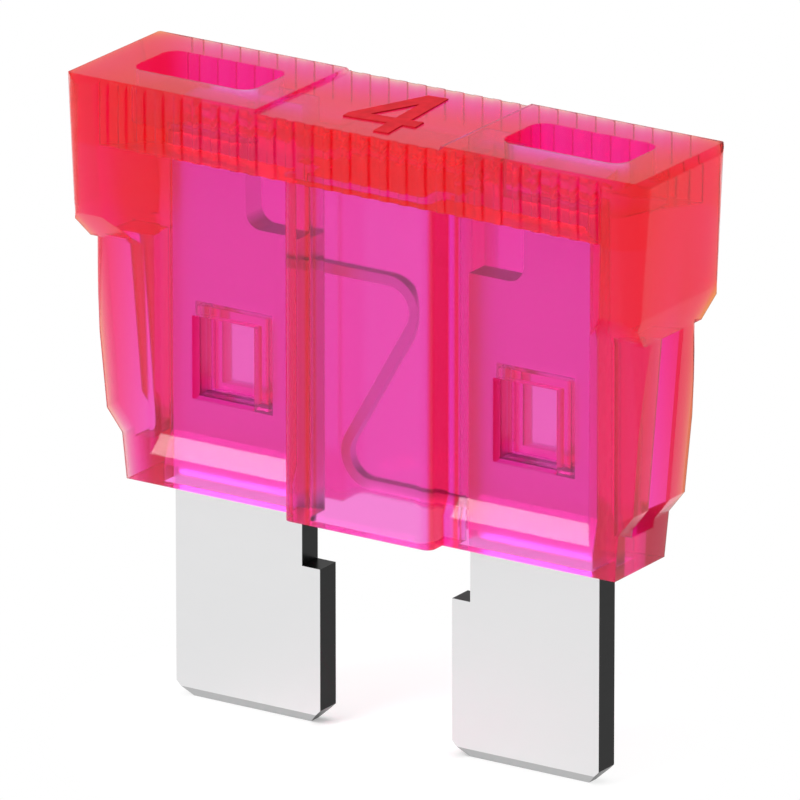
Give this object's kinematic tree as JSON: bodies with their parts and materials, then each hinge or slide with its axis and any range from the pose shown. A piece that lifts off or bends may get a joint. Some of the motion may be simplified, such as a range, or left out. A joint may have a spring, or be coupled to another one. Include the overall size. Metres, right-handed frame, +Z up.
{
  "type": "automotive blade fuse",
  "caption": "Regular-size blade fuse: dyed-clear moulded housing with ribbed head and test wells over a one-piece stamped element with flat blades and a thin link.",
  "frame": {"origin": "middle of the part in length and thickness, at the level of the blade tips", "axes": "+X along the row of the two blades, +Y through the thickness, +Z up from the blade tips to the housing's top face"},
  "size_m": [0.019, 0.005, 0.0185],
  "materials": {
    "clear_pink_plastic": "clear moulded plastic, dyed pink, smooth",
    "plated_metal": "bright plated sheet metal, darker cut edges"
  },
  "bodies": {
    "root": {"housing": "clear_pink_plastic", "fuse_element": "plated_metal"}
  },
  "joints": []
}
